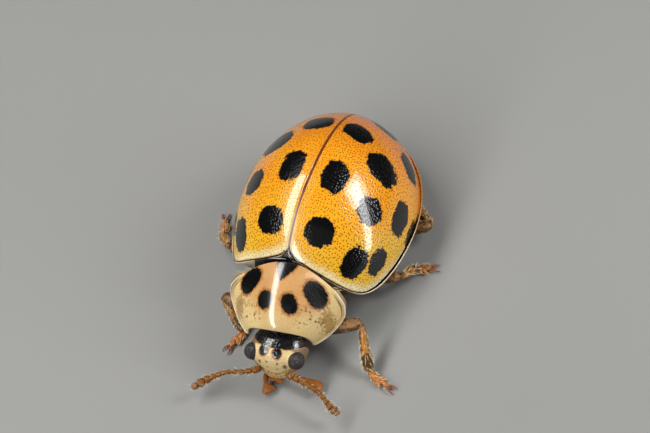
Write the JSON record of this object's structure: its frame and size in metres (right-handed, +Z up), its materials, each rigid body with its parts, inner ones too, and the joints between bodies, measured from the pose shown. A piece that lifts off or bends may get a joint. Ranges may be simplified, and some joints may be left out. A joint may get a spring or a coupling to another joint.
{
  "type": "ladybird",
  "caption": "Life-size still model of a yellow ladybird with black spots, standing with its head turned to its left.",
  "frame": {"origin": "On the floor, under the middle of the bounding box", "axes": "+Z up; the head points to -Y; +X is the animal's own left"},
  "size_m": [0.0042, 0.0056, 0.0021],
  "materials": {
    "wing_case": "gloss",
    "pronotum": "satin",
    "black": "gloss",
    "underside": "satin",
    "head": "satin",
    "eye": "satin",
    "leg": "satin",
    "claw": "gloss"
  },
  "bodies": {
    "root": {"abdomen": "underside", "antenna_left": "leg", "antenna_right": "leg", "elytron_left": "wing_case", "elytron_right": "wing_case", "eye_left": "eye", "eye_right": "eye", "foreleg_left_claws": "claw", "foreleg_left_femur": "leg", "foreleg_left_tarsus": "leg", "foreleg_left_tibia": "leg", "foreleg_right_claws": "claw", "foreleg_right_femur": "leg", "foreleg_right_tarsus": "leg", "foreleg_right_tibia": "leg", "head": "head", "hindleg_left_claws": "claw", "hindleg_left_femur": "leg", "hindleg_left_tarsus": "leg", "hindleg_left_tibia": "leg", "hindleg_right_claws": "claw", "hindleg_right_femur": "leg", "hindleg_right_tarsus": "leg", "hindleg_right_tibia": "leg", "labium": "leg", "labrum": "leg", "mesothorax": "black", "metathorax": "underside", "midleg_left_claws": "claw", "midleg_left_femur": "leg", "midleg_left_tarsus": "leg", "midleg_left_tibia": "leg", "midleg_right_claws": "claw", "midleg_right_femur": "leg", "midleg_right_tarsus": "leg", "midleg_right_tibia": "leg", "palp_left": "leg", "palp_right": "leg", "pronotum": "pronotum", "prosternum": "underside", "scutellum": "black"}
  },
  "joints": []
}
